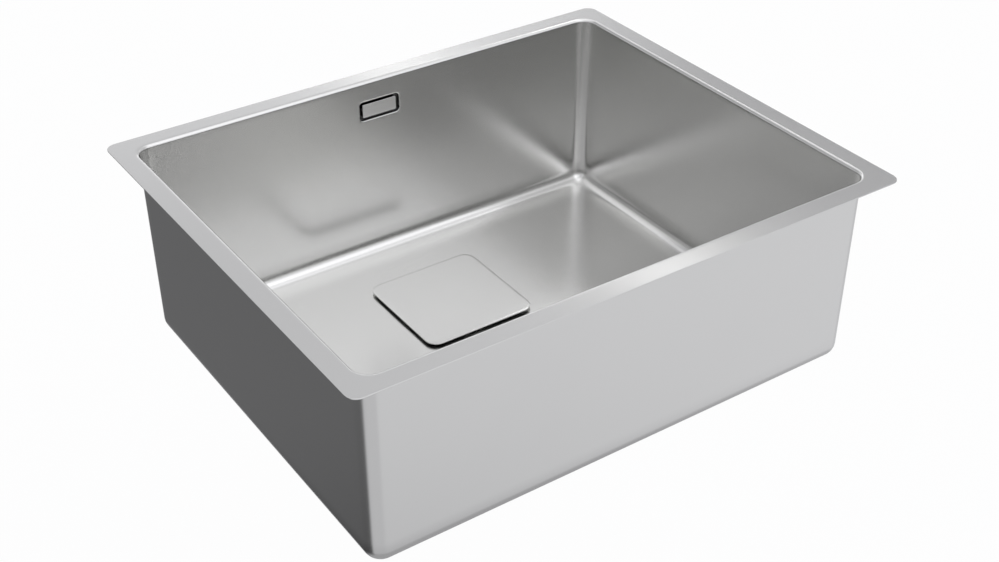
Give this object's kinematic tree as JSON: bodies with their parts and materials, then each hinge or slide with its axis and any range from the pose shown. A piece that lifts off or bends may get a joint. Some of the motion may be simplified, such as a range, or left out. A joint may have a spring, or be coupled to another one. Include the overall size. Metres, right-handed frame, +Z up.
{
  "type": "undermount kitchen sink",
  "caption": "Rectangular pressed-steel undermount kitchen sink bowl with narrow flange, square drain cover over a basket strainer, wall overflow and waste fittings.",
  "frame": {"origin": "middle of the bowl's opening, in the plane of the flange's top face", "axes": "+X along the long side of the flange, +Y towards the wall with the overflow, +Z up out of the bowl"},
  "size_m": [0.54, 0.4652, 0.2858],
  "materials": {
    "bowl_steel": "satin stainless steel with a fine even grain",
    "cover_steel": "fine brushed stainless steel",
    "fitting_steel": "smooth pressed stainless steel",
    "plate_chrome": "polished stainless steel",
    "screw_steel": "plain stainless steel",
    "nut_brass": "turned brass",
    "waste_plastic": "moulded white polypropylene",
    "nut_plastic": "moulded grey-white polypropylene",
    "basket_plastic": "moulded dark grey plastic",
    "seal_rubber": "matt black rubber",
    "pad_rubber": "matt grey damping sheet"
  },
  "bodies": {
    "root": {"bowl": "bowl_steel", "sound_pad": "pad_rubber", "strainer_cup": "fitting_steel", "strainer_seal": "seal_rubber", "body_seal": "seal_rubber", "waste_body": "waste_plastic", "insert_nut": "nut_brass", "clamp_screw": "screw_steel", "overflow_plate": "plate_chrome", "overflow_seal": "seal_rubber", "overflow_head": "waste_plastic", "overflow_screw": "screw_steel", "overflow_pipe": "waste_plastic", "head_cone_washer": "seal_rubber", "head_union_nut": "nut_plastic", "inlet_cone_washer": "seal_rubber", "inlet_union_nut": "nut_plastic"},
    "basket": {"basket_cup": "fitting_steel", "basket_collar": "basket_plastic", "basket_sleeve": "basket_plastic", "basket_stopper": "seal_rubber"},
    "cover": {"cover_plate": "cover_steel", "cover_stem": "basket_plastic", "cover_ring": "seal_rubber"}
  },
  "joints": [
    {"name": "basket_lift", "type": "slide", "parent": "root", "child": "basket", "axis": [0, 0, 1], "range_m": [0, 0.24]},
    {"name": "cover_lift", "type": "slide", "parent": "basket", "child": "cover", "axis": [0, 0, 1], "range_m": [0, 0.21]}
  ]
}
